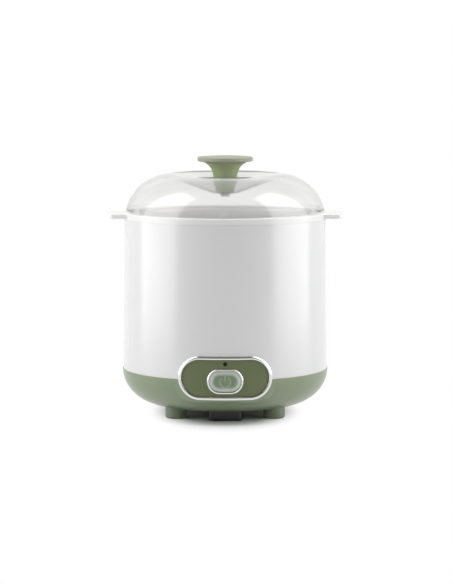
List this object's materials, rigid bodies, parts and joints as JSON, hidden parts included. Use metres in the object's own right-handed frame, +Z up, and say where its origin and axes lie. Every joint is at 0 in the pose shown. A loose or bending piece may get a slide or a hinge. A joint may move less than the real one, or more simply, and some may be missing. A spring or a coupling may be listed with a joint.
{
  "type": "yogurt maker",
  "caption": "Round tabletop yogurt maker: heated housing on feet, lift-out tub with side ears, clear domed lid with a knob, push button in a front pod.",
  "frame": {"origin": "on the table, on the housing's axis, midway between the ends of the whole part", "axes": "+Z up, -Y towards the front with the control panel, +X to the right as seen from the front"},
  "size_m": [0.2, 0.177, 0.2173],
  "materials": {
    "white_body": "glossy moulded",
    "sage_green": "glossy moulded",
    "sage_rubber": "satin",
    "panel_green": "satin",
    "button_green": "satin",
    "chrome_trim": "polished",
    "tub_plastic": "semi-translucent moulded",
    "clear_dome": "clear polished",
    "dark_lens": "polished",
    "lamp": "polished",
    "plated_steel": "zinc plated",
    "plate_metal": "brushed",
    "seal_rubber": "matt",
    "element_mat": "matt",
    "dark_plastic": "matt",
    "plunger_plastic": "matt",
    "fuse_sleeve": "woven sleeve",
    "board": "satin",
    "gland_rubber": "matt",
    "live_wire": "matt",
    "lamp_wire": "matt",
    "switch_wire": "matt",
    "fuse_wire": "matt",
    "heater_wire": "matt",
    "neutral_wire": "matt"
  },
  "bodies": {
    "housing": {"outer_shell": "white_body", "inner_well": "white_body", "base_shell": "sage_green", "foot_front_left": "sage_rubber", "foot_front_right": "sage_rubber", "foot_rear_left": "sage_rubber", "foot_rear_right": "sage_rubber", "control_panel": "panel_green", "panel_bezel": "chrome_trim", "button_ring": "chrome_trim", "led_lens": "dark_lens", "indicator_led": "lamp", "base_screws": "plated_steel", "heater_screws": "plated_steel", "thermostat_screws": "plated_steel", "fuse_clip": "plated_steel", "fuse_screw": "plated_steel", "board_screws": "plated_steel", "terminal_screws": "plated_steel", "heater_plate": "plate_metal", "heater_cover": "plate_metal", "plate_seal": "seal_rubber", "heater_element": "element_mat", "thermostat": "dark_plastic", "switch_body": "dark_plastic", "terminal_block": "plunger_plastic", "thermal_fuse": "fuse_sleeve", "control_board": "board", "cord_gland": "gland_rubber", "live_wire": "live_wire", "lamp_wire": "lamp_wire", "switch_wire": "switch_wire", "fuse_wire": "fuse_wire", "heater_wire": "heater_wire", "neutral_wire": "neutral_wire"},
    "bowl": {"yogurt_bowl": "tub_plastic"},
    "lid": {"dome_lid": "clear_dome", "lid_knob": "sage_green", "knob_washer": "plated_steel", "knob_screw": "plated_steel"},
    "button": {"power_button": "button_green", "switch_plunger": "plunger_plastic"}
  },
  "joints": [
    {"name": "bowl_lift", "type": "slide", "parent": "housing", "child": "bowl", "axis": [0, 0, 1], "range_m": [0, 0.125]},
    {"name": "lid_lift", "type": "slide", "parent": "bowl", "child": "lid", "axis": [0, 0, 1], "range_m": [0, 0.08]},
    {"name": "button_press", "type": "slide", "parent": "housing", "child": "button", "axis": [0, 1, 0], "range_m": [0, 0.003], "stiffness_N_per_m": 500}
  ]
}
